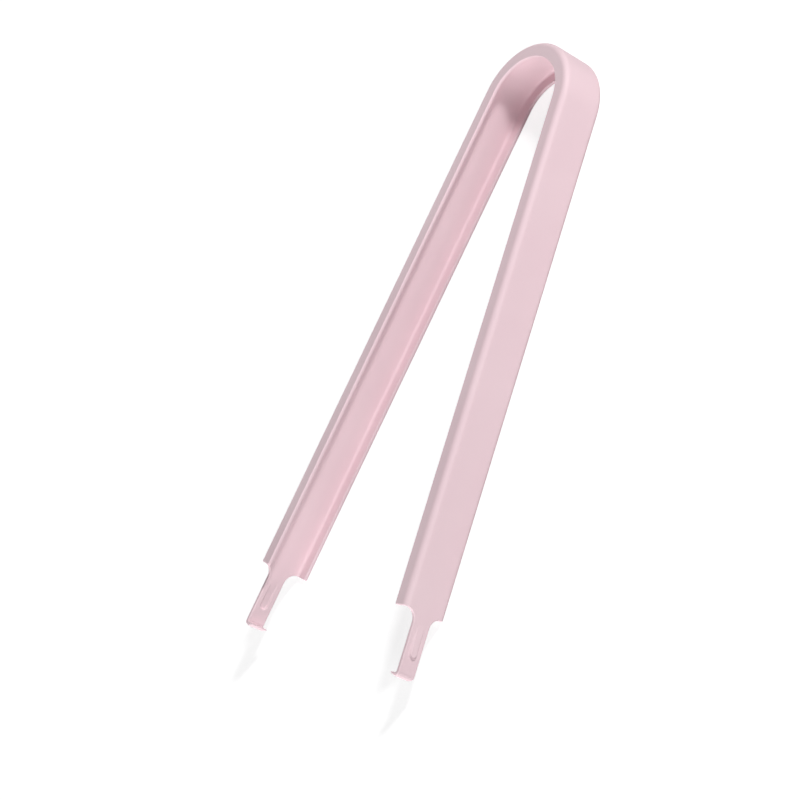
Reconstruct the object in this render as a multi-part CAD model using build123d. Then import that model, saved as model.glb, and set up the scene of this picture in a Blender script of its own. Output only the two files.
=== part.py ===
from build123d import *
import math
import os

# Switch puller: one strip of thin spring steel, stamped flat, folded to a
# channel along both long edges, then bent to a hairpin with two open arms.
# It lies on one side edge. The bend is at +X, the claws are at -X, one arm
# runs on each side of the XZ plane, and the strip stands from z = 0 up to
# its width. Lengths are millimetres and angles are degrees.

# Sheet and channel section
sheet = 0.5
strip_width = 6.8
flange_height = 2.1
fold_radius = 0.35
rim_round = 0.12

# Hairpin
bend_radius = 8.3
splay_angle = 6.9
arm_length = 69.0

# Tongue at the end of each arm
tongue_width = 2.7
tongue_length = 8.5
tongue_corner = 0.4

# Claw turned in at the end of the tongue
claw_fold_radius = 0.15
claw_reach = 1.1
claw_tip = 0.15
claw_bevel_length = 0.8

# Rib pressed outwards in the tongue, highest at its round end
rib_width = 1.2
rib_length = 3.8
rib_height = 0.3
rib_wall = 0.22
rib_round = 0.1
rib_to_end = 2.6

# Sizes that follow
outer_fold_radius = fold_radius + sheet
claw_outer_radius = claw_fold_radius + sheet
claw_depth = sheet + claw_reach
shoulder_radius = strip_width / 2 - sheet - tongue_width / 2
flat_arm = arm_length + tongue_length - claw_outer_radius
overcut = strip_width
side_view = Plane(origin=(0, 0, 0), x_dir=(1, 0, 0), z_dir=(0, -1, 0))


def arm_plane(side, distance):
    """Plane on the outer face of an arm, looking outwards, with X to the tip.

    side is -1 or +1 for the arm on that side of the XZ plane, and distance
    is measured along the arm from where the bend ends.
    """
    lean = math.radians(splay_angle)
    outward = Vector(math.sin(lean), side * math.cos(lean), 0)
    to_tip = Vector(-math.cos(lean), side * math.sin(lean), 0)
    origin = outward * bend_radius + to_tip * distance
    return Plane(origin=origin, x_dir=to_tip, z_dir=outward)


def channel_section():
    """Section of the strip, with x outwards and the outer face at x = 0."""
    side = (Align.MAX, Align.CENTER)
    outside = Rectangle(flange_height, strip_width, align=side)
    outside = fillet(outside.vertices().group_by(Axis.X)[-1], outer_fold_radius)
    inside = Rectangle(flange_height, strip_width - 2 * sheet, align=side)
    inside = fillet(inside.vertices().group_by(Axis.X)[-1], fold_radius)
    section = outside - Pos(-sheet, 0) * inside
    return fillet(section.vertices().group_by(Axis.X)[0], rim_round)


def hairpin_path():
    """Line of the outer face, from one arm's tip round the bend to the other."""
    half_turn = 90 - splay_angle
    start = arm_plane(-1, flat_arm).origin
    end = arm_plane(+1, flat_arm).origin
    bend = CenterArc((0, 0), bend_radius, -half_turn, 2 * half_turn)
    return Wire([Line(start, bend @ 0), bend.edge(), Line(bend @ 1, end)])


def channel_hairpin():
    """The folded strip along the whole hairpin, before its ends are cut."""
    path = hairpin_path()
    start = arm_plane(-1, flat_arm)
    across = Plane(origin=start.origin, x_dir=start.z_dir, z_dir=-start.x_dir)
    return sweep(across * channel_section(), path=path)


def tip_outline():
    """Outline of the flat end, seen from outside, with x = 0 at the shoulder."""
    body = Rectangle(overcut, strip_width + 2 * overcut, align=(Align.MAX, Align.CENTER))
    tongue = Rectangle(tongue_length, tongue_width, align=(Align.MIN, Align.CENTER))
    end_corners = tongue.vertices().group_by(Axis.X)[-1]
    tongue = fillet(end_corners, tongue_corner)
    outline = body + tongue
    shoulders = outline.vertices().filter_by(
        lambda v: abs(v.X) < sheet / 10 and abs(v.Y) < strip_width / 2
    )
    return fillet(shoulders, shoulder_radius)


def tip_waste(plane):
    """What is cut away beside the tongue and past its rounded end."""
    blank = Rectangle(2 * tongue_length, strip_width + overcut, align=(Align.MIN, Align.CENTER))
    waste = extrude(blank - tip_outline(), overcut, both=True)
    return plane * waste


def claw(plane):
    """End of the tongue, folded inwards and bevelled to a thin tip."""
    end = tongue_length
    inner = end - sheet
    root = end - claw_outer_radius
    corners = [
        (root, 0),
        (end, 0),
        (end, -claw_depth + claw_bevel_length),
        (inner + claw_tip, -claw_depth),
        (inner, -claw_depth),
        (inner, -sheet),
        (root, -sheet),
    ]
    profile = make_face(Polyline(*corners, close=True))
    outer_corner = profile.vertices().sort_by_distance((end, 0))[0]
    profile = fillet(outer_corner, claw_outer_radius)
    inner_corner = profile.vertices().sort_by_distance((inner, -sheet))[0]
    profile = fillet(inner_corner, claw_fold_radius)
    hook = extrude(side_view * profile, tongue_width / 2, both=True)
    rounded = extrude(tip_outline(), overcut, both=True)
    return plane * (hook & rounded)


def ramp(width, length, foot, low, high):
    """Round-ended column whose top rises from low to high, with a soft rim.

    It runs along x and ends at the rib's end, and foot is the level it
    stands on.
    """
    end = tongue_length - rib_to_end
    start = end - length
    straight = Rectangle(length - width / 2, width, align=(Align.MIN, Align.CENTER))
    outline = straight + Pos(length - width / 2, 0) * Circle(width / 2)
    column = extrude(Pos(start, 0, foot) * outline, high - foot + sheet)
    slope = Polyline((start, foot), (end, foot), (end, high), (start, low), close=True)
    wedge = extrude(side_view * make_face(slope), width, both=True)
    block = column & wedge
    top = block.faces().sort_by(Axis.Z)[-1]
    return fillet(top.edges(), rib_round)


def pressed_rib(strip, plane):
    """The strip with the rib raised outside the tongue and sunk inside it."""
    raised = ramp(rib_width, rib_length, -sheet / 2, -rib_round, rib_height)
    hollow = Pos(-rib_wall, 0) * ramp(
        rib_width - 2 * rib_wall,
        rib_length - rib_wall,
        -2 * sheet,
        -sheet - rib_round,
        -sheet + rib_height,
    )
    return strip + plane * raised - plane * hollow


def dressed_end(strip, side):
    """The strip with the shoulders, tongue and claw of one arm made."""
    plane = arm_plane(side, arm_length)
    strip = strip - tip_waste(plane)
    strip = strip + claw(plane)
    return pressed_rib(strip, plane)


def puller_strip():
    """The whole strip, resting on z = 0 and centred over the origin."""
    strip = channel_hairpin()
    for side in (-1, +1):
        strip = dressed_end(strip, side)
    box = strip.bounding_box()
    return Pos(-box.center().X, -box.center().Y, -box.min.Z) * strip


os.makedirs("parts", exist_ok=True)
part = puller_strip()
export_step(part, "parts/puller_strip.step")
print("solids", len(part.solids()), "volume", round(part.volume, 2))
print("size", part.bounding_box().size)
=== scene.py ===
"""Studio scene of a switch puller: one pressed strip of spring steel with a satin pink coat.

The strip is made as a press shop makes it. A flat blank is stamped out, a rib is pressed into each
tongue, both long edges are folded to flanges, the tongue ends are turned in to claws, and the
finished channel is bent to a hairpin. Sizes are in millimetres and angles in degrees, and meshes
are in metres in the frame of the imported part.
"""

import logging
import math
from dataclasses import dataclass
from enum import Enum
from typing import Any

import bmesh
import bpy
import numpy as np
from mathutils import Matrix, Vector

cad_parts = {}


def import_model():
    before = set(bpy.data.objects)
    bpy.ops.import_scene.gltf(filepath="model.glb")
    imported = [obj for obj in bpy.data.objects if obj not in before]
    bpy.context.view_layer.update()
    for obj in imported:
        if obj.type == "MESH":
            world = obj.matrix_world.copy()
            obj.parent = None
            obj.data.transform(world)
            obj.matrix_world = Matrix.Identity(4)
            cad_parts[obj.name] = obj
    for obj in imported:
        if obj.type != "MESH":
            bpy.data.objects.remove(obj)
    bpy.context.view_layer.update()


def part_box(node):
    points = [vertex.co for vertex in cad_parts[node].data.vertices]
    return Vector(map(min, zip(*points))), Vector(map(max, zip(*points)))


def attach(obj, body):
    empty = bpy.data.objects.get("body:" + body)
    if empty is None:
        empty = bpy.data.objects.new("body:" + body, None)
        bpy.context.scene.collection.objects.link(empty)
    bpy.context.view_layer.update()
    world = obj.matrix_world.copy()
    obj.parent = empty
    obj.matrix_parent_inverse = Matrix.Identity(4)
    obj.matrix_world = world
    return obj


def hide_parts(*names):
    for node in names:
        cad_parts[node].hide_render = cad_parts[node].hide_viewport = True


logging.basicConfig(level=logging.INFO, format="%(name)s: %(message)s")
log = logging.getLogger("switch_puller")

MM = 0.001
CAD_NODE = "puller_strip"
BODY = "root"

# Numbers of the sockets of a colour Mix node, several of which share a name
MIX_SHARE = 0
MIX_FIRST = 6
MIX_SECOND = 7
MIX_RESULT = 2


class SheetFace(Enum):
    """The two faces of the sheet."""

    OUTER = "outer"
    INNER = "inner"


def linear_colour(code: str) -> tuple[float, float, float, float]:
    """Turns an sRGB hex colour to linear.

    Args:
        code: Six hex digits, red first.

    Returns:
        Linear red, green and blue, and an alpha of 1.
    """
    shares = [int(code[i : i + 2], 16) / 255 for i in (0, 2, 4)]
    red, green, blue = [s / 12.92 if s <= 0.04045 else ((s + 0.055) / 1.055) ** 2.4 for s in shares]
    return red, green, blue, 1.0


def add_node(
    tree: bpy.types.NodeTree, kind: str, inputs: dict[Any, Any], **settings: Any
) -> bpy.types.Node:
    """Adds a node, sets it up and links it.

    Args:
        tree: Tree that gets the node.
        kind: Blender's type name of the node.
        inputs: Socket name or number, and the value or the output socket that it takes.
        **settings: Properties of the node itself.

    Returns:
        The new node.
    """
    node = tree.nodes.new(kind)
    for name, value in settings.items():
        setattr(node, name, value)
    for key, source in inputs.items():
        if isinstance(source, bpy.types.NodeSocket):
            tree.links.new(source, node.inputs[key])
        else:
            node.inputs[key].default_value = source
    return node


def work_out(tree: bpy.types.NodeTree, steps: tuple[tuple, ...], known: dict[str, Any]) -> dict[str, Any]:
    """Adds a chain of sums to a tree, one node for each step.

    Args:
        tree: Tree that gets the nodes.
        steps: For each step the result's name, the operation, and its operands by name or value.
        known: Sockets by name that the first steps start from.

    Returns:
        The sockets that were known and the result of each step, by name.
    """
    values = dict(known)
    for result, operation, *operands in steps:
        sources = {i: values[o] if isinstance(o, str) else o for i, o in enumerate(operands)}
        node = add_node(tree, "ShaderNodeMath", sources, operation=operation, label=result)
        values[result] = node.outputs[0]
    return values


def seen_directly(tree: bpy.types.NodeTree) -> bpy.types.NodeSocket:
    """Adds the test for rays that show the background as it is.

    Args:
        tree: Tree that gets the nodes.

    Returns:
        Socket that is 1 for camera, glossy and transmission rays, and 0 for the rest.
    """
    path = add_node(tree, "ShaderNodeLightPath", {})
    names = ("Is Camera Ray", "Is Glossy Ray", "Is Transmission Ray")
    rays = {name: path.outputs[name] for name in names}
    steps = (
        ("mirrored", "MAXIMUM", "Is Camera Ray", "Is Glossy Ray"),
        ("seen", "MAXIMUM", "mirrored", "Is Transmission Ray"),
    )
    return work_out(tree, steps, rays)["seen"]


def between(first: Any, second: Any, shares: Any) -> np.ndarray:
    """Rows of points on straight lines from one row of points to another.

    Args:
        first: Point or row of points that share 0 gives.
        second: Point or row of as many points that share 1 gives.
        shares: How far along the lines each new row lies.

    Returns:
        The rows, stacked on a new first axis.
    """
    first = np.asarray(first, float)
    second = np.asarray(second, float)
    shares = np.asarray(shares, float).reshape((-1,) + (1,) * first.ndim)
    return first * (1 - shares) + second * shares


def runs(stops: tuple[float, ...], steps: tuple[int, ...]) -> np.ndarray:
    """Numbers from the first stop to the last, in even steps between neighbouring stops.

    Args:
        stops: Values to pass through.
        steps: Number of steps in each run.

    Returns:
        The numbers in order, each once.
    """
    pieces = [np.linspace(a, b, n + 1)[1:] for a, b, n in zip(stops, stops[1:], steps)]
    return np.concatenate([[stops[0]], *pieces])


@dataclass(frozen=True)
class PowderCoat:
    """Polyester powder coat, sprayed on and baked over the pressed steel.

    It gives the eye one even, pale pink satin skin: wide soft highlights, a faint orange peel left
    by the powder as it flowed out, and a slightly paler line over the rims, which is a painted highlight.
    Spacings and heights are in millimetres.

    Attributes:
        name: Name of the material.
        tint: Colour of the coat.
        tint_deep: Colour where the powder lies a little thicker.
        tint_edge_highlight: Paler colour painted on the eased edges as a highlight.
        edge_highlight_share: How much of that painted highlight the eased edges get, from 0 to 1.
        ior: Index of refraction of the resin.
        roughness_low: Roughness where the coat flowed out best.
        roughness_high: Roughness where it flowed out least.
        flow_spacing: Distance between patches of thicker coat.
        flow_contrast: How sharply those patches stand out.
        peel_spacing: Distance between the swells of the orange peel.
        peel_height: Height of those swells.
        grain_spacing: Distance between the specks of the powder's grain.
        grain_height: Height of those specks.
    """

    name: str = "satin_powder_coat"
    tint: str = "ECD2D8"
    tint_deep: str = "E9CDD4"
    tint_edge_highlight: str = "F1DBE1"
    edge_highlight_share: float = 0.15
    ior: float = 1.5
    roughness_low: float = 0.58
    roughness_high: float = 0.66
    flow_spacing: float = 11.0
    flow_contrast: float = 2.0
    peel_spacing: float = 1.5
    peel_height: float = 0.0035
    grain_spacing: float = 0.22
    grain_height: float = 0.0006

    def pattern(self, tree: bpy.types.NodeTree, spacing: float, detail: float) -> bpy.types.NodeSocket:
        """Adds a cloudy pattern of a real size, fixed to the strip.

        Args:
            tree: Tree that gets the nodes.
            spacing: Distance from one cloud to the next, in millimetres.
            detail: Number of finer layers in the clouds.

        Returns:
            The socket with the pattern, from 0 to 1.
        """
        place = add_node(tree, "ShaderNodeTexCoord", {}).outputs["Object"]
        inputs = {"Vector": place, "Scale": 1 / (spacing * MM), "Detail": detail, "Roughness": 0.5}
        return add_node(tree, "ShaderNodeTexNoise", inputs).outputs["Fac"]

    def material(self) -> bpy.types.Material:
        """Builds the coat.

        Returns:
            The material.
        """
        made = bpy.data.materials.new(self.name)
        made.use_nodes = True
        tree = made.node_tree
        tree.nodes.clear()
        rim = add_node(tree, "ShaderNodeAttribute", {}, attribute_name="rim").outputs["Fac"]
        flow = self.pattern(tree, self.flow_spacing, 2.0)
        peel = self.pattern(tree, self.peel_spacing, 1.0)
        grain = self.pattern(tree, self.grain_spacing, 0.0)
        centring = (1 - self.flow_contrast) / 2
        swing = self.roughness_high - self.roughness_low
        steps = (
            ("cloud", "MULTIPLY_ADD", flow, self.flow_contrast, centring),
            ("low", "MAXIMUM", "cloud", 0.0),
            ("patch", "MINIMUM", "low", 1.0),
            # thin is the share of the paler colour painted on the eased edges as a highlight
            ("thin", "MULTIPLY", rim, self.edge_highlight_share),
            ("roughness", "MULTIPLY_ADD", "patch", swing, self.roughness_low),
            ("peel height", "MULTIPLY", peel, self.peel_height),
            ("height", "MULTIPLY_ADD", grain, self.grain_height, "peel height"),
        )
        sums = work_out(tree, steps, {})
        skin = {
            MIX_SHARE: sums["patch"],
            MIX_FIRST: linear_colour(self.tint),
            MIX_SECOND: linear_colour(self.tint_deep),
        }
        body = add_node(tree, "ShaderNodeMix", skin, data_type="RGBA").outputs[MIX_RESULT]
        # The eased edges are mixed towards a paler colour, a painted highlight.
        edge = {MIX_SHARE: sums["thin"], MIX_FIRST: body, MIX_SECOND: linear_colour(self.tint_edge_highlight)}
        colour = add_node(tree, "ShaderNodeMix", edge, data_type="RGBA").outputs[MIX_RESULT]
        relief = add_node(tree, "ShaderNodeBump", {"Height": sums["height"], "Distance": MM})
        inputs = {
            "Base Color": colour,
            "Roughness": sums["roughness"],
            "IOR": self.ior,
            "Normal": relief.outputs["Normal"],
        }
        shader = add_node(tree, "ShaderNodeBsdfPrincipled", inputs)
        add_node(tree, "ShaderNodeOutputMaterial", {"Surface": shader.outputs["BSDF"]})
        return made


@dataclass(frozen=True)
class PaperSweep:
    """Matt white background paper, which gives the eye plain white with only a soft shadow on it."""

    name: str = "white_paper"
    tint: str = "B9B9B9"
    lift: float = 0.75
    roughness: float = 0.9

    def material(self) -> bpy.types.Material:
        """Builds the paper, which looks white to the camera and in reflections.

        Returns:
            The material.
        """
        made = bpy.data.materials.new(self.name)
        made.use_nodes = True
        tree = made.node_tree
        tree.nodes.clear()
        inputs = {"Color": linear_colour(self.tint), "Roughness": self.roughness}
        paper = add_node(tree, "ShaderNodeBsdfDiffuse", inputs).outputs["BSDF"]
        glow = add_node(tree, "ShaderNodeEmission", {"Strength": self.lift}).outputs["Emission"]
        lifted = add_node(tree, "ShaderNodeAddShader", {0: paper, 1: glow}).outputs["Shader"]
        mixed = add_node(tree, "ShaderNodeMixShader", {0: seen_directly(tree), 1: paper, 2: lifted})
        add_node(tree, "ShaderNodeOutputMaterial", {"Surface": mixed.outputs["Shader"]})
        return made


@dataclass(frozen=True)
class StripSizes:
    """Driving sizes of the strip. Radii are those of the outer face.

    Attributes:
        sheet: Thickness of the steel.
        strip_width: Width across the folded strip.
        flange_height: Height of a flange, from the strip's outer face to its rim.
        fold_radius: Radius of the fold between the strip's floor and a flange.
        bend_radius: Radius of the hairpin's bend.
        splay_angle: Lean of each arm away from the middle plane.
        arm_length: Length of an arm, from the bend to the shoulders.
        tongue_width: Width of the tongue at an arm's end.
        tongue_length: Length of the tongue past the shoulders.
        tongue_corner: Radius of the tongue's end corners.
        claw_radius: Radius of the claw's fold.
        claw_depth: Depth of the claw, from the strip's outer face to its tip.
        claw_tip: Thickness of the claw's tip.
        bevel_length: Length over which the claw thins.
        rib_width: Width of the rib pressed in the tongue.
        rib_start: Distance of the rib's low end from the shoulders.
        rib_end: Distance of the rib's round end from the shoulders.
        rib_height: Height of the rib at its round end.
        rib_wall: Width of the rib's sloping wall.
        edge_round: Radius of the eased edges.
    """

    sheet: float = 0.5
    strip_width: float = 6.8
    flange_height: float = 2.1
    fold_radius: float = 0.85
    bend_radius: float = 8.3
    splay_angle: float = 6.9
    arm_length: float = 69.0
    tongue_width: float = 2.7
    tongue_length: float = 8.5
    tongue_corner: float = 0.4
    claw_radius: float = 0.65
    claw_depth: float = 1.6
    claw_tip: float = 0.15
    bevel_length: float = 0.8
    rib_width: float = 1.3
    rib_start: float = 1.6
    rib_end: float = 5.9
    rib_height: float = 0.3
    rib_wall: float = 0.2
    edge_round: float = 0.12

    @property
    def bend_angle(self) -> float:
        """Angle from the middle of the bend to one arm, in radians."""
        return math.radians(90 - self.splay_angle)

    @property
    def bend_run(self) -> float:
        """Length of flat sheet from the middle of the bend to one arm."""
        return self.bend_radius * self.bend_angle

    @property
    def shoulder(self) -> float:
        """Distance of the shoulders from the middle of the blank."""
        return self.bend_run + self.arm_length

    @property
    def shoulder_radius(self) -> float:
        """Radius of the quarter round between a shoulder and the tongue."""
        return (self.strip_width - self.tongue_width) / 2 - self.sheet

    @property
    def fold_start(self) -> float:
        """Distance of a flange's fold from the blank's middle line."""
        return self.strip_width / 2 - self.fold_radius

    @property
    def fold_end(self) -> float:
        """Distance from the blank's middle line at which the fold is complete."""
        return self.fold_start + self.fold_radius * math.pi / 2

    @property
    def half_blank(self) -> float:
        """Half the width of the flat blank."""
        return self.fold_end + self.flange_height - self.fold_radius

    @property
    def claw_start(self) -> float:
        """Distance of the claw's fold from the shoulders."""
        return self.tongue_length - self.claw_radius

    @property
    def claw_turned(self) -> float:
        """Distance from the shoulders at which the claw's fold is complete."""
        return self.claw_start + self.claw_radius * math.pi / 2

    @property
    def blank_tip(self) -> float:
        """Distance of the flat blank's tip from the shoulders."""
        return self.claw_turned + self.claw_depth - self.claw_radius

    @property
    def bevel_start(self) -> float:
        """Distance from the shoulders at which the claw starts to thin."""
        return self.blank_tip - self.bevel_length


@dataclass
class StampedBlank:
    """The flat blank as it leaves the stamping tool, with every cut edge eased.

    One quarter is tiled with grids of points, and three mirror images complete it. Points are
    (distance past the shoulder line, distance from the middle line).

    Attributes:
        sizes: Sizes of the strip.
        neck: Half width of the grid along the tongue's middle line.
        margin: How far up the arm the grids round the shoulders reach.
        edge_support: Distance of the last row of points from an eased edge.
        arm_support: Length of the arm's last step before those grids.
        bend_support: Length of the arm's first step past the bend.
        reach: Shares at which rows lie between an edge and the grid behind it.
        round_steps: Steps round each half of an eased edge.
        round_limit: Most of a thinned sheet's thickness that one eased edge takes.
        merge_gap: Distance under which two points are one.
    """

    sizes: StripSizes
    neck: float = 0.75
    margin: float = 1.2
    edge_support: float = 0.05
    arm_support: float = 1.0
    bend_support: float = 0.4
    reach: tuple[float, ...] = (0.0, 0.06, 0.2, 0.4, 0.6, 0.8, 1.0)
    round_steps: int = 4
    round_limit: float = 0.45
    merge_gap: float = 0.001

    def __post_init__(self) -> None:
        """Works out the rows of points that neighbouring grids share."""
        s = self.sizes
        rim = s.half_blank - s.edge_round
        tip = s.blank_tip - s.edge_round
        self.corner_level = s.strip_width / 2 - s.sheet
        self.tongue_edge = s.tongue_width / 2 - s.edge_round
        self.middle = runs((0, self.neck), (12,))
        self.floor = runs((self.neck, s.fold_start, self.corner_level), (6, 3))
        self.flange = runs((self.corner_level, s.fold_end, rim - self.edge_support, rim), (8, 3, 1))
        self.root = runs((-self.margin, s.shoulder_radius), (9,))
        self.tongue = runs(
            (
                s.shoulder_radius,
                s.rib_end + s.rib_wall,
                s.claw_start,
                s.claw_turned,
                s.bevel_start,
                tip - self.edge_support,
                tip,
            ),
            (60, 6, 12, 2, 5, 1),
        )
        self.arm = runs(
            (
                -s.shoulder,
                -s.arm_length,
                -s.arm_length + self.bend_support,
                -self.margin - self.arm_support,
                -self.margin,
            ),
            (32, 1, 28, 1),
        )

    def quarter_round(self, angles: np.ndarray) -> np.ndarray:
        """Points on the eased edge of the quarter round at a shoulder.

        Args:
            angles: Angles round the arc, 0 at the flange and a quarter turn at the tongue.

        Returns:
            The points, one row each.
        """
        radius = self.sizes.shoulder_radius
        centre = np.array([radius, self.corner_level])
        spokes = np.stack([np.cos(angles), np.sin(angles)], -1)
        return centre - (radius + self.sizes.edge_round) * spokes

    def arc_angles(self) -> tuple[np.ndarray, np.ndarray]:
        """Angles of the points on the quarter round.

        Returns:
            Those that face the arm, and those that face the tongue's middle line.
        """
        share = (self.corner_level - self.floor[::-1]) / (self.corner_level - self.neck)
        second = np.linspace(math.pi / 4, math.pi / 2, len(self.root))
        return share * math.pi / 4, second

    def row(self, along: Any, across: Any) -> np.ndarray:
        """Points from their two coordinates, either of which may be one number for all."""
        return np.stack(np.broadcast_arrays(along, across), -1).astype(float)

    def flat_grids(self) -> list[np.ndarray]:
        """Grids of points that tile a quarter of the blank inside its eased edges.

        Returns:
            The arm, the flange's end, the two halves of the fan round the shoulder, the strip
            along the middle line and the tongue's side.
        """
        columns = np.concatenate([self.middle, self.floor[1:], self.flange[1:]])
        to_arm, to_middle = self.arc_angles()
        spine = np.concatenate([self.root, self.tongue[1:]])
        arm_share = (self.arm - self.arm[0]) / (self.arm[-1] - self.arm[0])
        return [
            between(self.row(self.arm[0], columns), self.row(self.arm[-1], columns), arm_share),
            between(
                self.row(-self.sizes.edge_round, self.flange),
                self.row(-self.margin, self.flange),
                self.reach,
            ),
            between(self.quarter_round(to_arm), self.row(-self.margin, self.floor[::-1]), self.reach),
            between(self.quarter_round(to_middle), self.row(self.root, self.neck), self.reach),
            between(self.row(spine, 0.0), self.row(spine, self.neck), self.middle / self.neck),
            between(
                self.row(self.tongue, self.tongue_edge),
                self.row(self.tongue, self.neck),
                self.reach,
            ),
        ]

    def outline(self) -> tuple[np.ndarray, np.ndarray]:
        """Line round the flat grids of a quarter, from the bend's rim to the tip's middle.

        Returns:
            The points, and at each the direction that points out of the sheet.
        """
        s = self.sizes
        rim = s.half_blank - s.edge_round
        tip = s.blank_tip - s.edge_round
        flange_end = between(-s.edge_round, -self.margin, self.reach)[::-1]
        tip_side = between(self.tongue_edge, self.neck, self.reach)
        to_arm, to_middle = self.arc_angles()
        angles = np.concatenate([to_arm, to_middle[1:]])
        fan = np.linspace(math.pi / 2, 0, self.round_steps + 1)[1:]
        along_rim = np.concatenate([self.arm, flange_end[1:]])
        end = np.concatenate([tip_side[1:], self.middle[::-1][1:]])
        sections = [
            (self.row(along_rim, rim), np.full(len(along_rim), math.pi / 2)),
            (self.row(np.full(len(fan), -s.edge_round), rim), fan),
            (self.row(-s.edge_round, self.flange[::-1][1:]), np.zeros(len(self.flange) - 1)),
            (self.quarter_round(angles)[1:], angles[1:]),
            (self.row(self.tongue[1:], self.tongue_edge), np.full(len(self.tongue) - 1, math.pi / 2)),
            (self.row(np.full(len(fan), tip), self.tongue_edge), fan),
            (self.row(tip, end), np.zeros(len(end))),
        ]
        points = np.concatenate([part for part, _ in sections])
        turns = np.concatenate([turn for _, turn in sections])
        return points, np.stack([np.cos(turns), np.sin(turns)], -1)

    def level(self, along: np.ndarray, face: SheetFace) -> np.ndarray:
        """Height of a face of the sheet, which is 0 outside and thins to the claw's tip.

        Args:
            along: Distances past the shoulder line.
            face: Which face.

        Returns:
            The heights.
        """
        s = self.sizes
        if face is SheetFace.INNER:
            return np.full(np.shape(along), -s.sheet)
        thinned = np.clip((along - s.bevel_start) / s.bevel_length, 0, 1)
        return (s.claw_tip - s.sheet) * thinned

    def raised(self, grid: np.ndarray, face: SheetFace) -> np.ndarray:
        """A flat grid's points on one face of the sheet, as (along, across, level)."""
        along = grid[..., 0]
        return np.stack([along + self.sizes.shoulder, grid[..., 1], self.level(along, face)], -1)

    def eased_edge(self) -> np.ndarray:
        """Grid of points over the stamped edge, from the outer face round to the inner one.

        Returns:
            The points, as (along, across, level).
        """
        points, outward = self.outline()
        top = self.level(points[:, 0], SheetFace.OUTER)
        bottom = self.level(points[:, 0], SheetFace.INNER)
        radius = np.minimum(self.sizes.edge_round, self.round_limit * (top - bottom))
        rows = []
        turns = np.linspace(0, math.pi / 2, self.round_steps + 1)
        for face, swept in ((SheetFace.OUTER, turns), (SheetFace.INNER, turns[::-1])):
            for turn in swept:
                out = points + outward * self.sizes.edge_round * math.sin(turn)
                drop = radius * (1 - math.cos(turn))
                level = top - drop if face is SheetFace.OUTER else bottom + drop
                rows.append(np.stack([out[:, 0] + self.sizes.shoulder, out[:, 1], level], -1))
        return np.stack(rows)

    def tiled(self, grids: list[np.ndarray]) -> tuple[np.ndarray, np.ndarray]:
        """Turns grids of points to one list of points and one of four-sided faces.

        Args:
            grids: The grids.

        Returns:
            All the points, and the four points of each face by number.
        """
        points, faces, start = [], [], 0
        for grid in grids:
            rows, columns = grid.shape[:2]
            index = start + np.arange(rows * columns).reshape(rows, columns)
            corners = (index[:-1, :-1], index[1:, :-1], index[1:, 1:], index[:-1, 1:])
            faces.append(np.stack(corners, -1).reshape(-1, 4))
            points.append(grid.reshape(-1, 3))
            start += rows * columns
        return np.concatenate(points), np.concatenate(faces)

    def build(self) -> bpy.types.Object:
        """Builds the blank.

        Returns:
            The flat blank, in metres, with x along it, y across it and z its level. Its attribute
            rim is 1 on the eased edges.
        """
        grids = [self.raised(grid, face) for grid in self.flat_grids() for face in SheetFace]
        shares = [np.zeros(grid.shape[:2]) for grid in grids]
        edge = self.eased_edge()
        edge_share = np.ones(edge.shape[:2])
        edge_share[[0, -1]] = 0
        grids.append(edge)
        shares.append(edge_share)
        quarter, quads = self.tiled(grids)
        mirrors = [np.array([i, j, 1.0]) for i in (1, -1) for j in (1, -1)]
        vertices = np.concatenate([quarter * mirror for mirror in mirrors]) * MM
        polygons = np.concatenate([quads + k * len(quarter) for k in range(len(mirrors))])
        mesh = bpy.data.meshes.new("stamped_blank")
        mesh.from_pydata(vertices.tolist(), [], polygons.tolist())
        rim = mesh.attributes.new("rim", "FLOAT", "POINT")
        share = np.concatenate([part.ravel() for part in shares])
        rim.data.foreach_set("value", np.tile(share, len(mirrors)).astype(np.float32))
        self.close(mesh)
        blank = bpy.data.objects.new("stamped_blank", mesh)
        bpy.context.scene.collection.objects.link(blank)
        return blank

    def close(self, mesh: bpy.types.Mesh) -> None:
        """Joins the grids to one closed skin that faces outwards.

        Args:
            mesh: Mesh to mend in place.
        """
        work = bmesh.new()
        work.from_mesh(mesh)
        bmesh.ops.remove_doubles(work, verts=work.verts, dist=self.merge_gap * MM)
        bmesh.ops.recalc_face_normals(work, faces=work.faces)
        for face in work.faces:
            face.smooth = True
        loose = sum(not edge.is_manifold for edge in work.edges)
        log.info("stamped blank: %d faces, %d open edges", len(work.faces), loose)
        work.to_mesh(mesh)
        work.free()


# Sums that bend a flat sheet round a straight line. A point keeps its distance from the line up to
# Start, then goes round a bend whose outer face has that Radius, and on straight from Angle. Level
# is its height over the outer face.
BEND_SUMS = (
    ("side", "SIGN", "Along"),
    ("run", "ABSOLUTE", "Along"),
    ("past", "SUBTRACT", "run", "Start"),
    ("aim", "DIVIDE", "past", "Radius"),
    ("turning", "MAXIMUM", "aim", 0.0),
    ("turn", "MINIMUM", "turning", "Angle"),
    ("arc", "MULTIPLY", "turn", "Radius"),
    ("spare", "SUBTRACT", "past", "arc"),
    ("after", "MAXIMUM", "spare", 0.0),
    ("before", "MINIMUM", "run", "Start"),
    ("reach", "ADD", "Radius", "Level"),
    ("sine", "SINE", "turn"),
    ("cosine", "COSINE", "turn"),
    ("swung", "MULTIPLY_ADD", "reach", "sine", "before"),
    ("forward", "MULTIPLY_ADD", "after", "cosine", "swung"),
    ("new along", "MULTIPLY", "forward", "side"),
    ("raised", "MULTIPLY", "reach", "cosine"),
    ("sunk", "MULTIPLY_ADD", "after", "sine", "Radius"),
    ("new level", "SUBTRACT", "raised", "sunk"),
)

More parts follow.
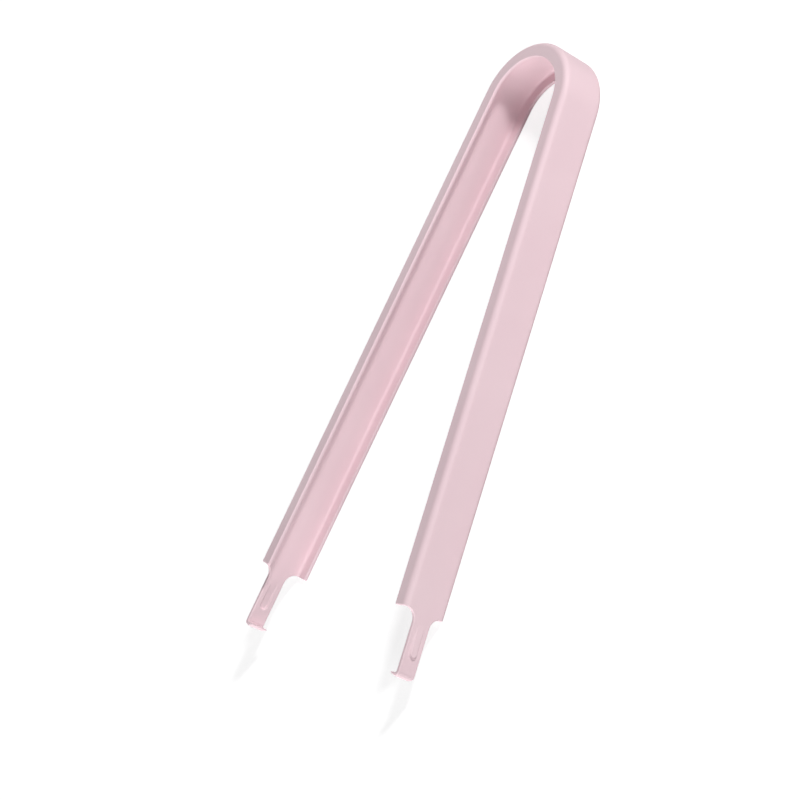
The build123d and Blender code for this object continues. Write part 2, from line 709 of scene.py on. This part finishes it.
# Sums that press the rib outwards. It climbs from its start to its round end, and its wall is a
# smooth step.
RIB_SUMS = (
    ("run", "ABSOLUTE", "along"),
    ("low", "MAXIMUM", "run", "Rib Start"),
    ("spine", "MINIMUM", "low", "Rib Crown"),
    ("over", "SUBTRACT", "run", "spine"),
    ("over squared", "MULTIPLY", "over", "over"),
    ("spread", "MULTIPLY_ADD", "across", "across", "over squared"),
    ("off", "SQRT", "spread"),
    ("inside", "SUBTRACT", "Rib Half Width", "off"),
    ("share", "DIVIDE", "inside", "Rib Wall"),
    ("share low", "MAXIMUM", "share", 0.0),
    ("share held", "MINIMUM", "share low", 1.0),
    ("slack", "MULTIPLY_ADD", "share held", -2.0, 3.0),
    ("share squared", "MULTIPLY", "share held", "share held"),
    ("wall", "MULTIPLY", "share squared", "slack"),
    ("gone", "SUBTRACT", "run", "Rib Start"),
    ("length", "SUBTRACT", "Rib End", "Rib Start"),
    ("climb", "DIVIDE", "gone", "length"),
    ("climb low", "MAXIMUM", "climb", 0.0),
    ("climb held", "MINIMUM", "climb low", 1.0),
    ("height", "MULTIPLY", "climb held", "Rib Height"),
    ("ribbed", "MULTIPLY_ADD", "height", "wall", "level"),
)

# Sums that round the two corners of the tongue's end, after the claw is turned in.
CORNER_SUMS = (
    ("run", "ABSOLUTE", "along"),
    ("corner start", "SUBTRACT", "Tongue End", "Tongue Corner"),
    ("past", "SUBTRACT", "run", "corner start"),
    ("share", "DIVIDE", "past", "Tongue Corner"),
    ("share low", "MAXIMUM", "share", 0.0),
    ("share held", "MINIMUM", "share low", 1.0),
    ("left", "MULTIPLY_ADD", "share held", "share held", -1.0),
    ("under", "ABSOLUTE", "left"),
    ("root", "SQRT", "under"),
    ("cut", "SUBTRACT", 1.0, "root"),
    ("loss", "MULTIPLY", "cut", "Tongue Corner"),
    ("kept", "SUBTRACT", "Tongue Half Width", "loss"),
    ("scale", "DIVIDE", "kept", "Tongue Half Width"),
    ("trimmed", "MULTIPLY", "across", "scale"),
)


@dataclass
class PressWork:
    """The press tools that shape the flat blank, as one tree of geometry nodes.

    Attributes:
        sizes: Sizes of the strip.
        apex: Where the bend's outer face ends along +X, in metres.
    """

    sizes: StripSizes
    apex: float

    def settings(self) -> dict[str, float]:
        """Named inputs of the tree.

        Returns:
            Each input's value, in metres or radians.
        """
        s = self.sizes
        lengths = {
            "Half Width": s.strip_width / 2,
            "Fold Start": s.fold_start,
            "Fold Radius": s.fold_radius,
            "Claw Start": s.shoulder + s.claw_start,
            "Claw Radius": s.claw_radius,
            "Bend Radius": s.bend_radius,
            "Tongue End": s.shoulder + s.tongue_length,
            "Tongue Half Width": s.tongue_width / 2,
            "Tongue Corner": s.tongue_corner,
            "Rib Start": s.shoulder + s.rib_start,
            "Rib End": s.shoulder + s.rib_end,
            "Rib Crown": s.shoulder + s.rib_end - s.rib_width / 2,
            "Rib Half Width": s.rib_width / 2,
            "Rib Height": s.rib_height,
            "Rib Wall": s.rib_wall,
        }
        inputs = {name: length * MM for name, length in lengths.items()}
        inputs["Apex"] = self.apex
        inputs["Square Fold"] = math.pi / 2
        inputs["Bend Angle"] = s.bend_angle
        return inputs

    def bending_tool(self) -> bpy.types.NodeTree:
        """Group that bends a sheet round one line, and is used for each fold.

        Returns:
            The node group.
        """
        tree = bpy.data.node_groups.new("bending_tool", "GeometryNodeTree")
        names = ("Along", "Level", "Start", "Radius", "Angle")
        for name in names:
            tree.interface.new_socket(name, in_out="INPUT", socket_type="NodeSocketFloat")
        for name in ("Along", "Level"):
            tree.interface.new_socket(name, in_out="OUTPUT", socket_type="NodeSocketFloat")
        source = add_node(tree, "NodeGroupInput", {})
        sums = work_out(tree, BEND_SUMS, {name: source.outputs[name] for name in names})
        add_node(tree, "NodeGroupOutput", {"Along": sums["new along"], "Level": sums["new level"]})
        return tree

    def fold(
        self,
        tree: bpy.types.NodeTree,
        tool: bpy.types.NodeTree,
        known: dict[str, Any],
        axis: str,
        line: tuple[Any, str, str],
    ) -> None:
        """Adds one fold, which gives two of the known coordinates their new values.

        Args:
            tree: Tree that gets the fold.
            tool: The bending tool.
            known: Sockets by name.
            axis: Name of the coordinate that the fold's line crosses.
            line: Where the fold starts, and the names of its radius and its angle.
        """
        start, radius, angle = line
        inputs = {
            "Along": known[axis],
            "Level": known["level"],
            "Start": start,
            "Radius": known[radius],
            "Angle": known[angle],
        }
        fold = add_node(tree, "GeometryNodeGroup", inputs, node_tree=tool)
        known[axis] = fold.outputs["Along"]
        known["level"] = fold.outputs["Level"]

    def tree(self, finish: bpy.types.Material) -> bpy.types.NodeTree:
        """Builds the whole press line.

        Args:
            finish: Material that the strip gets at the end.

        Returns:
            The node tree.
        """
        tool = self.bending_tool()
        tree = bpy.data.node_groups.new("press_line", "GeometryNodeTree")
        tree.interface.new_socket("Geometry", in_out="INPUT", socket_type="NodeSocketGeometry")
        tree.interface.new_socket("Geometry", in_out="OUTPUT", socket_type="NodeSocketGeometry")
        for name in self.settings():
            tree.interface.new_socket(name, in_out="INPUT", socket_type="NodeSocketFloat")
        source = add_node(tree, "NodeGroupInput", {})
        known = {name: source.outputs[name] for name in self.settings()}
        flat = add_node(tree, "GeometryNodeInputPosition", {}).outputs["Position"]
        parts = add_node(tree, "ShaderNodeSeparateXYZ", {"Vector": flat})
        known.update(along=parts.outputs["X"], across=parts.outputs["Y"], level=parts.outputs["Z"])
        known["level"] = work_out(tree, RIB_SUMS, known)["ribbed"]
        self.fold(tree, tool, known, "across", (known["Fold Start"], "Fold Radius", "Square Fold"))
        self.fold(tree, tool, known, "along", (known["Claw Start"], "Claw Radius", "Square Fold"))
        known["across"] = work_out(tree, CORNER_SUMS, known)["trimmed"]
        self.fold(tree, tool, known, "along", (0.0, "Bend Radius", "Bend Angle"))
        steps = (("x", "ADD", "Apex", "level"), ("z", "ADD", "Half Width", "across"))
        placed = work_out(tree, steps, known)
        point = {"X": placed["x"], "Y": known["along"], "Z": placed["z"]}
        position = add_node(tree, "ShaderNodeCombineXYZ", point).outputs["Vector"]
        moved = {"Geometry": source.outputs["Geometry"], "Position": position}
        bent = add_node(tree, "GeometryNodeSetPosition", moved).outputs["Geometry"]
        real = add_node(tree, "GeometryNodeRealizeInstances", {"Geometry": bent}).outputs["Geometry"]
        coated = add_node(tree, "GeometryNodeSetMaterial", {"Geometry": real, "Material": finish})
        add_node(tree, "NodeGroupOutput", {"Geometry": coated.outputs["Geometry"]})
        return tree

    def press(self, blank: bpy.types.Object, finish: bpy.types.Material, name: str) -> bpy.types.Object:
        """Shapes the blank and keeps the result as a plain mesh.

        Args:
            blank: The flat blank, which is used up.
            finish: Material of the strip.
            name: Name of the finished piece.

        Returns:
            The shaped strip.
        """
        tree = self.tree(finish)
        line = blank.modifiers.new("press_line", "NODES")
        line.node_group = tree
        settings = self.settings()
        for item in tree.interface.items_tree:
            if item.in_out == "INPUT" and item.name in settings:
                line[item.identifier] = settings[item.name]
        bpy.context.view_layer.update()
        graph = bpy.context.evaluated_depsgraph_get()
        mesh = bpy.data.meshes.new_from_object(
            blank.evaluated_get(graph), preserve_all_data_layers=True, depsgraph=graph
        )
        mesh.name = name
        blank.modifiers.remove(line)
        bpy.data.objects.remove(blank)
        strip = bpy.data.objects.new(name, mesh)
        bpy.context.scene.collection.objects.link(strip)
        return strip


@dataclass
class PullerStrip:
    """The one piece of the puller, from blank to coated strip."""

    sizes: StripSizes
    coat: PowderCoat
    name: str = "coated_strip"

    def build(self) -> bpy.types.Object:
        """Makes the strip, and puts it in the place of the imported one.

        Returns:
            The finished strip.
        """
        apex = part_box(CAD_NODE)[1].x
        blank = StampedBlank(self.sizes).build()
        strip = PressWork(self.sizes, apex).press(blank, self.coat.material(), self.name)
        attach(strip, BODY)
        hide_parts(CAD_NODE)
        return strip


@dataclass(frozen=True)
class Lamp:
    """Soft round lamp that looks at the strip.

    Attributes:
        name: What the lamp is for.
        toward: Direction from the strip to the lamp.
        distance: Distance from the strip, in metres.
        width: Width of the lamp, in metres.
        power: Power in watts.
        tint: Colour of its light.
    """

    name: str
    toward: tuple[float, float, float]
    distance: float
    width: float
    power: float
    tint: str = "FFFFFF"

    def place(self, target: Vector) -> None:
        """Puts the lamp in the scene.

        Args:
            target: Point that it looks at.
        """
        light = bpy.data.lights.new(self.name, "AREA")
        light.shape = "DISK"
        light.size = self.width
        light.energy = self.power
        light.color = linear_colour(self.tint)[:3]
        lamp = bpy.data.objects.new(self.name, light)
        bpy.context.scene.collection.objects.link(lamp)
        away = Vector(self.toward).normalized()
        lamp.location = target + away * self.distance
        lamp.rotation_mode = "QUATERNION"
        lamp.rotation_quaternion = away.to_track_quat("Z", "Y")


@dataclass
class Studio:
    """White paper, soft lamps and the camera.

    The camera looks down on the lying strip from the side that the picture shows, and is rolled so
    that the bend points up.

    Attributes:
        paper: The background paper.
        lamps: The lamps.
        sky_tint: Colour of the light from all round.
        sky_strength: Strength of that light.
        floor_width: Width of the paper, in metres.
        floor_gap: How far the paper lies under the strip, in metres.
        lens: Focal length, in millimetres.
        sensor: Width of the camera's sensor, in millimetres.
        clip: Nearest and farthest distance that the camera sees, in metres.
        camera_place: Where the camera stands, in millimetres.
        camera_right: Direction of the picture's right side.
        camera_up: Direction of the picture's top.
    """

    paper: PaperSweep
    lamps: tuple[Lamp, ...] = (
        Lamp("key_lamp", (0.722, -0.489, 0.489), 0.425, 0.065, 1.22),
        Lamp("front_fill", (-0.3, -1.0, 0.25), 1.0, 0.45, 4.4),
        Lamp("low_fill", (-1.0, 0.02, 0.12), 0.6, 0.13, 2.65),
        Lamp("back_fill", (0.2, 1.0, 0.2), 1.0, 0.4, 3.5),
    )
    sky_tint: str = "F7FAFF"
    sky_strength: float = 0.06
    floor_width: float = 6.0
    floor_gap: float = 0.00002
    lens: float = 133.776
    sensor: float = 36.0
    clip: tuple[float, float] = (0.01, 20.0)
    camera_place: tuple[float, float, float] = (-54.193, -308.089, 227.792)
    camera_right: tuple[float, float, float] = (0.364200, -0.577348, -0.730772)
    camera_up: tuple[float, float, float] = (0.923655, 0.123448, 0.362798)

    def lay_paper(self) -> None:
        """Lays the paper under the strip."""
        half = self.floor_width / 2
        corners = [(-half, -half), (half, -half), (half, half), (-half, half)]
        mesh = bpy.data.meshes.new("paper")
        mesh.from_pydata([(x, y, -self.floor_gap) for x, y in corners], [], [(0, 1, 2, 3)])
        mesh.materials.append(self.paper.material())
        paper = bpy.data.objects.new("paper", mesh)
        bpy.context.scene.collection.objects.link(paper)

    def light_world(self) -> None:
        """Sets the soft light from all round, and plain white where the world is seen."""
        world = bpy.data.worlds.new("studio")
        bpy.context.scene.world = world
        world.use_nodes = True
        tree = world.node_tree
        tree.nodes.clear()
        sky = {"Color": linear_colour(self.sky_tint), "Strength": self.sky_strength}
        soft = add_node(tree, "ShaderNodeBackground", sky).outputs["Background"]
        plain = {"Color": (1.0, 1.0, 1.0, 1.0), "Strength": 1.0}
        white = add_node(tree, "ShaderNodeBackground", plain).outputs["Background"]
        mixed = add_node(tree, "ShaderNodeMixShader", {0: seen_directly(tree), 1: soft, 2: white})
        add_node(tree, "ShaderNodeOutputWorld", {"Surface": mixed.outputs["Shader"]})

    def place_camera(self) -> None:
        """Places the camera."""
        right = Vector(self.camera_right)
        up = Vector(self.camera_up)
        turn = Matrix((right, up, right.cross(up))).transposed()
        data = bpy.data.cameras.new("camera")
        data.sensor_width = self.sensor
        data.lens = self.lens
        data.clip_start, data.clip_end = self.clip
        camera = bpy.data.objects.new("camera", data)
        bpy.context.scene.collection.objects.link(camera)
        camera.matrix_world = Matrix.Translation(Vector(self.camera_place) * MM) @ turn.to_4x4()
        bpy.context.scene.camera = camera

    def build(self) -> None:
        """Builds the studio round the strip."""
        low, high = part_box(CAD_NODE)
        self.place_camera()
        self.lay_paper()
        self.light_world()
        for lamp in self.lamps:
            lamp.place((low + high) / 2)
        bpy.context.scene.view_settings.view_transform = "Standard"


def main() -> None:
    """Loads the frame, builds the strip and its studio, and logs the strip's number of faces."""
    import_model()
    Studio(PaperSweep()).build()
    strip = PullerStrip(StripSizes(), PowderCoat()).build()
    log.info("%s: %d faces", strip.name, len(strip.data.polygons))


if __name__ == "__main__":
    main()
